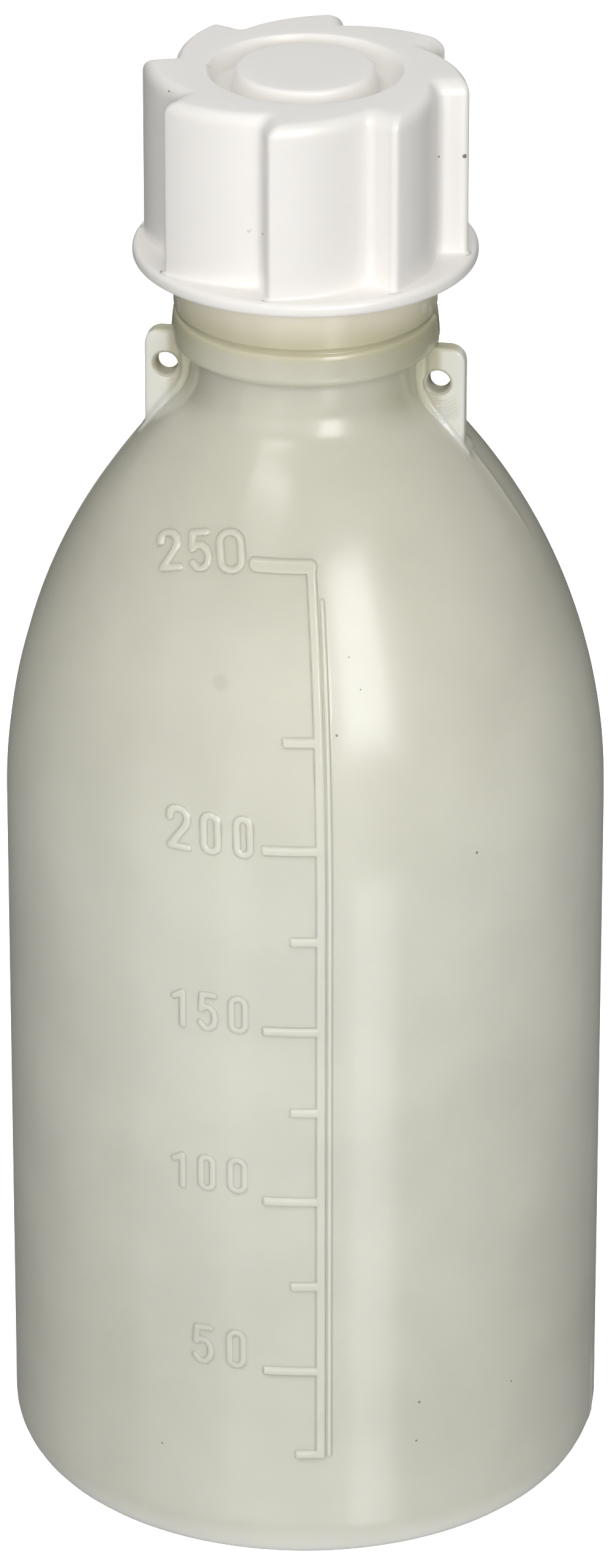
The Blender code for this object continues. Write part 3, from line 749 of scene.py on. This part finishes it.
# Colour of the bottle by height in millimetres, as the wall's thickness changes, with painted
# light: lighter at the base's edge, where the lit table shines up, and on the neck just under
# the cap, where the cap's shadow would fall
WALL_TONE_AND_PAINTED_LIGHT = (
    (0.0, "#F4F4EC"), (2.0, "#F2F2E9"), (5.0, "#D8D8CC"), (18.0, "#D4D4C7"), (40.0, "#D9D9CD"),
    (75.0, "#DFDFD3"), (90.0, "#DCDBCD"), (104.0, "#D6D4C5"), (116.0, "#D4D2C2"),
    (121.0, "#D8D6C7"), (123.6, "#D8D6C7"), (124.6, "#D3D1C2"), (126.9, "#D2CFBF"),
    (127.6, "#CFCAAE"), (128.6, "#D0CBAE"), (129.4, "#D8D3BA"), (131.5, "#EFEAD7"),
    (133.0, "#F4EFDF"))
# Width of one frozen fold below the right ear's hole
FOLD_WIDTH = 0.36 * MM


def linear(colour):
    """An sRGB hex colour as the linear RGBA that the shader takes."""
    parts = [int(colour[i:i + 2], 16) / 255 for i in (1, 3, 5)]
    return tuple(p / 12.92 if p <= 0.04045 else ((p + 0.055) / 1.055) ** 2.4
                 for p in parts) + (1.0,)


def feed(tree, node, inputs):
    """Give each named input of a node its value, or the output that feeds it."""
    for name, value in inputs.items():
        if isinstance(value, bpy.types.NodeSocket):
            tree.links.new(value, node.inputs[name])
        else:
            node.inputs[name].default_value = value


def add(tree, kind, inputs=None, **settings):
    """A new node with its settings and inputs."""
    node = tree.nodes.new(kind)
    for name, value in settings.items():
        setattr(node, name, value)
    feed(tree, node, inputs or {})
    return node


def new_material(name):
    material = bpy.data.materials.new(name)
    material.use_nodes = True
    tree = material.node_tree
    return material, tree, tree.nodes["Principled BSDF"]


def calc(tree, operation, *values):
    """Result of an operation on numbers."""
    return add(tree, "ShaderNodeMath", dict(enumerate(values)),
               operation=operation).outputs["Value"]


def vector_calc(tree, operation, *values, result="Value"):
    """Result of an operation on vectors: a number, or the vector if result says so."""
    return add(tree, "ShaderNodeVectorMath", dict(enumerate(values)),
               operation=operation).outputs[result]


def mapped(tree, value, low, high, to_low=0.0, to_high=1.0, easing="LINEAR"):
    """A value carried from one range to another, and kept inside it."""
    return add(tree, "ShaderNodeMapRange", {"Value": value, "From Min": low, "From Max": high,
                                            "To Min": to_low, "To Max": to_high},
               interpolation_type=easing).outputs["Result"]


def noise(tree, place, waves, detail=2.0):
    """Cloudy noise from 0 to 1, with this many waves to the metre."""
    return add(tree, "ShaderNodeTexNoise", {"Vector": place, "Scale": waves,
                                            "Detail": detail}).outputs["Fac"]


def by_height(tree, value, colours):
    """Colour ramp along a value in millimetres: a list of (value, colour), lowest first."""
    low, high = colours[0][0], colours[-1][0]
    node = add(tree, "ShaderNodeValToRGB", {"Fac": mapped(tree, value, low * MM, high * MM)})
    ramp = node.color_ramp
    for place, colour in colours[1:-1]:
        ramp.elements.new((place - low) / (high - low)).color = linear(colour)
    ramp.elements[0].color = linear(colours[0][1])
    ramp.elements[-1].color = linear(colours[-1][1])
    return node.outputs["Color"]


def mixed(tree, factor, first, second):
    """Two colours mixed; each is a hex colour or the output of a node."""
    first, second = (linear(c) if isinstance(c, str) else c for c in (first, second))
    return add(tree, "ShaderNodeMix", {"Factor": factor, 6: first, 7: second},
               data_type="RGBA").outputs[2]


def between(tree, value, start, end):
    """A mask that rises from 0 to 1 while the value goes from start to end, in millimetres."""
    return mapped(tree, value, start * MM, end * MM, easing="SMOOTHSTEP")


def product(tree, *values):
    result = values[0]
    for value in values[1:]:
        result = calc(tree, "MULTIPLY", result, value)
    return result


def zone(tree, *limits):
    """Mask of a zone, from its limits: each a value and its start and end in millimetres."""
    return product(tree, *[between(tree, *limit) for limit in limits])


def spots(tree, place, marks):
    """Mask of small round marks, each given by its place and radius in millimetres."""
    mask = None
    for x, y, z, radius in marks:
        away = vector_calc(tree, "DISTANCE", place, (x * MM, y * MM, z * MM))
        near = between(tree, away, radius, 0.5 * radius)
        mask = near if mask is None else calc(tree, "MAXIMUM", mask, near)
    return mask


def blown_polyethylene():
    """Natural polyethylene, blow moulded: a milky wall that light sinks into, with a satin skin.

    The wall looks darker and yellower where it is thick, on the shoulder, bead and groove.
    """
    material, tree, shader = new_material("natural_polyethylene_blow_moulded")
    place = add(tree, "ShaderNodeTexCoord").outputs["Object"]
    axes = add(tree, "ShaderNodeSeparateXYZ", {"Vector": place}).outputs
    height = axes["Z"]
    # The wall's tone by height, with painted light at the base's edge and under the cap
    wall = by_height(tree, height, WALL_TONE_AND_PAINTED_LIGHT)
    # Soft clouds about 13 mm wide, as the parison stretched unevenly
    shade = mapped(tree, noise(tree, place, 75.0, 3.0), 0.35, 0.65, 0.965, 1.03)
    wall = add(tree, "ShaderNodeVectorMath", {0: wall, "Scale": shade},
               operation="SCALE").outputs["Vector"]
    # Painted shade: the ears' thick roots and the bead beside them are painted darker and more
    # olive, as they let less light through; the thin ears are painted lighter, as more light
    # shines through them
    side = calc(tree, "ABSOLUTE", axes["X"])
    flank = calc(tree, "ABSOLUTE", axes["Y"])
    # Painted shade on the sides of the bead and the ears' roots
    root = zone(tree, (side, 6.5, 12.5), (height, 117.0, 121.0), (height, 130.0, 127.0))
    wall = mixed(tree, product(tree, root, 0.55), wall, "#ABA986")
    # Painted light: the thin ears are painted lighter, for the light that shines through them
    ear = zone(tree, (side, 13.3, 14.2), (height, 112.0, 116.0), (height, 124.6, 124.0),
               (flank, 1.9, 1.3))
    wall = mixed(tree, ear, wall, "#E2E2DA")
    # Painted shade: the inside of the ears' holes is painted darker, as less light gets back out
    flat = add(tree, "ShaderNodeCombineXYZ", {"X": axes["X"], "Z": height}).outputs["Vector"]
    from_right, from_left = [vector_calc(tree, "DISTANCE", flat, (hole_x, 0, EAR_HOLE_Z))
                             for hole_x in EAR_HOLES_X.values()]
    bore = zone(tree, (calc(tree, "MINIMUM", from_right, from_left), 1.5, 1.34),
                (flank, 1.9, 1.3))
    wall = mixed(tree, bore, wall, "#B4B1A0")
    # Painted highlights under the cap's edge: pale glints on the right of the neck and a pale
    # patch on its left, crumbled at half a millimetre
    crumble = mapped(tree, noise(tree, place, 1900.0), 0.3, 0.65)
    painted_glint = product(tree, spots(tree, place, NECK_PAINTED_GLINTS), crumble, 0.5)
    wall = mixed(tree, painted_glint, wall, "#FAFAF6")
    # Painted shade: the flanks of the raised strokes are painted darker, as they bend the light
    # away
    out = vector_calc(tree, "MULTIPLY", place, (1, 1, 0), result="Vector")
    out = vector_calc(tree, "LENGTH", out)
    up = calc(tree, "MAXIMUM", calc(tree, "SUBTRACT", height, SHOULDER_Z), 0.0)
    span = calc(tree, "MULTIPLY_ADD", product(tree, up, up), -1.0, SHOULDER_R ** 2)
    rise = calc(tree, "SUBTRACT", out, calc(tree, "SQRT", span))
    rise = calc(tree, "SUBTRACT", rise, SHOULDER_X)
    stroke = zone(tree, (rise, 0.01, 0.05), (rise, 0.17, 0.07), (axes["Y"], -14.0, -17.0))
    wall = mixed(tree, product(tree, stroke, 0.33), wall, "#8F9089")
    # Dark specks and one faint round spot in the wall
    wall = mixed(tree, product(tree, spots(tree, place, FAINT_SPOTS), 0.12), wall, "#8C8A7C")
    wall = mixed(tree, product(tree, spots(tree, place, WALL_SPECKS), 0.75), wall, "#6E6355")
    feed(tree, shader, {"Base Color": wall, "Roughness": 0.19, "IOR": 1.51,
                        "Subsurface Weight": 1.0, "Subsurface Radius": (1.0, 0.95, 0.75),
                        "Subsurface Scale": 1.8 * MM})
    # Ripples where the plastic froze in folds below the right ear's hole
    wave = calc(tree, "SINE", product(tree, from_right, TURN / FOLD_WIDTH))
    hole_z = EAR_HOLE_Z / MM
    fades = ((height, hole_z - 1.2, hole_z - 2.0), (from_right, 4.6, 3.8),
             (axes["X"], 13.3, 14.0), (axes["X"], 15.8, 15.3), (flank, 1.5, 1.2))
    ripple = product(tree, wave, *[between(tree, *fade) for fade in fades])
    folds = add(tree, "ShaderNodeBump", {"Height": ripple, "Strength": 1.0,
                                         "Distance": 0.045 * MM})
    # A grain of 0.7 mm, so faint that it only breaks up the highlights
    bump = add(tree, "ShaderNodeBump", {"Height": noise(tree, place, 1500.0), "Strength": 0.06,
                                        "Distance": 0.05 * MM,
                                        "Normal": folds.outputs["Normal"]})
    feed(tree, shader, {"Normal": bump.outputs["Normal"]})
    return material


def moulded_cap_plastic():
    """Opaque white polypropylene, injection moulded: warm white with a satin skin."""
    material, tree, shader = new_material("white_polypropylene_injection_moulded")
    place = add(tree, "ShaderNodeTexCoord").outputs["Object"]
    colour = mixed(tree, noise(tree, place, 120.0), "#F2EFEA", "#F6F3EF")
    # Dark specks, a scuff on the front, and grey crumbs of flash at the ring groove's edge
    speck = product(tree, spots(tree, place, CAP_SPECKS), 0.85)
    colour = mixed(tree, speck, colour, "#54493A")
    flash = spots(tree, place, CAP_FLASH)
    crumble = mapped(tree, noise(tree, place, 2600.0), 0.4, 0.6)
    colour = mixed(tree, product(tree, flash, crumble, 0.6), colour, "#B9B8AE")
    feed(tree, shader, {"Base Color": colour, "Roughness": 0.36, "IOR": 1.49,
                        "Subsurface Weight": 0.4, "Subsurface Radius": (1.0, 0.95, 0.85),
                        "Subsurface Scale": 0.8 * MM})
    bump = add(tree, "ShaderNodeBump", {"Height": noise(tree, place, 1800.0), "Strength": 0.08,
                                        "Distance": 0.05 * MM})
    feed(tree, shader, {"Normal": bump.outputs["Normal"]})
    return material


# Stage, light and camera --------------------------------------------------------------------

# Brightness of the tent from straight below, 0, to straight above, 1: the lit table, a dark gap
# along the horizon, and the pale tent over it
TENT = ((0, 0.8), (0.08, 0.6), (0.17, 0.3), (0.3, 0.1), (0.4, 0.02), (0.52, 0.02),
        (0.59, 0.58), (0.75, 0.72), (0.85, 0.58), (1, 0.56))
# How much dimmer the tent is to both sides of the view than in front and behind
TENT_SIDE_LOSS = 0.28
# The lights aim at this height on the bottle
LIGHT_AIM = 0.1


def make_floor():
    """Plain white studio floor that glows like a light table."""
    bm = bmesh.new()
    bmesh.ops.create_grid(bm, x_segments=1, y_segments=1, size=8.0)
    bmesh.ops.translate(bm, verts=bm.verts[:], vec=(0, 0, -0.05 * MM))
    material, tree, shader = new_material("white_light_table")
    feed(tree, shader, {"Base Color": linear("#E0E0E0"), "Roughness": 0.6,
                        "Emission Color": (1, 1, 1, 1), "Emission Strength": 0.9})
    floor = finished(bm, "studio_floor", material)
    floor.visible_diffuse = False
    floor.visible_glossy = False
    floor.visible_shadow = False


def aimed(item, place, target):
    """Put a lamp or camera at a place, looking at a target."""
    forward = (Vector(target) - Vector(place)).normalized()
    item.matrix_world = (Matrix.Translation(place)
                         @ forward.to_track_quat("-Z", "Y").to_matrix().to_4x4())


def softbox(name, turn, elevation, distance, size, power, seen_by="both"):
    """A rectangular soft light, turned from the camera's side of the bottle.

    seen_by keeps it out of the reflections ("diffuse") or in them alone ("glossy").
    """
    light = bpy.data.lights.new(name, "AREA")
    light.shape = "RECTANGLE"
    light.size, light.size_y = size
    light.energy = power
    item = bpy.data.objects.new(name, light)
    bpy.context.scene.collection.objects.link(item)
    azimuth = VIEW_TURN + math.radians(turn)
    rise = math.radians(elevation)
    place = (distance * math.cos(rise) * math.sin(azimuth),
             -distance * math.cos(rise) * math.cos(azimuth),
             LIGHT_AIM + distance * math.sin(rise))
    aimed(item, place, (0, 0, LIGHT_AIM))
    item.visible_glossy = seen_by != "diffuse"
    item.visible_diffuse = seen_by != "glossy"


def make_studio():
    make_floor()
    softbox("softbox_front", 0, 14, 1.7, (1.2, 1.0), 16.7, "diffuse")
    # A wide dim card in front gives the wall its even sheen
    softbox("front_card", -4, -4, 1.9, (1.9, 2.6), 14.0, "glossy")
    softbox("left_card", -45, -4, 1.9, (1.6, 2.6), 9.0, "glossy")
    # The main light: a narrow bright core in a wider, fainter glow
    softbox("softbox_right", 25, 24, 1.3, (0.42, 0.84), 6.0, "glossy")
    softbox("softbox_right_glow", 27, 24, 1.4, (0.78, 1.1), 4.2, "glossy")
    # A short light at the upper left that fades out downwards
    softbox("softbox_left", -34, 57, 1.3, (0.5, 0.16), 1.15)
    softbox("softbox_left_low", -34, 48, 1.3, (0.5, 0.32), 0.6)
    # Behind, so that the back of the milky wall is lit too
    softbox("softbox_back", 180, 5, 1.7, (1.2, 1.0), 12.0, "diffuse")
    # The right softbox mirrored in the polish of the table
    softbox("table_glint", 26, -32, 1.4, (0.34, 0.6), 1.5)
    world = bpy.data.worlds.new("studio")
    world.use_nodes = True
    tree = world.node_tree
    direction = add(tree, "ShaderNodeTexCoord").outputs["Generated"]
    up = add(tree, "ShaderNodeSeparateXYZ", {"Vector": direction}).outputs["Z"]
    tent = add(tree, "ShaderNodeValToRGB", {"Fac": mapped(tree, up, -1.0, 1.0)})
    ends = tent.color_ramp.elements
    for place, level in TENT[1:-1]:
        ends.new(place).color = (level, level, level, 1)
    for end, (_, level) in ((ends[0], TENT[0]), (ends[-1], TENT[-1])):
        end.color = (level, level, level, 1)
    view_right = (math.cos(VIEW_TURN), math.sin(VIEW_TURN), 0)
    aside = vector_calc(tree, "DOT_PRODUCT", direction, view_right)
    strength = calc(tree, "MULTIPLY_ADD", product(tree, aside, aside), -TENT_SIDE_LOSS, 1.0)
    feed(tree, tree.nodes["Background"], {"Color": tent.outputs["Color"], "Strength": strength})
    bpy.context.scene.world = world
    bpy.context.scene.view_settings.view_transform = "Standard"


def make_camera():
    lens = bpy.data.cameras.new("photo_view")
    lens.lens = VIEW_LENS
    lens.sensor_width = SENSOR
    lens.clip_end = 20.0
    camera = bpy.data.objects.new("photo_view", lens)
    bpy.context.scene.collection.objects.link(camera)
    level = VIEW_DISTANCE * math.cos(VIEW_PITCH)
    place = (level * math.sin(VIEW_TURN), -level * math.cos(VIEW_TURN),
             VIEW_AIM + VIEW_DISTANCE * math.sin(VIEW_PITCH))
    aimed(camera, place, (0, 0, VIEW_AIM))
    bpy.context.scene.camera = camera


make_camera()
make_studio()
make_bottle(blown_polyethylene())
make_cap(moulded_cap_plastic())
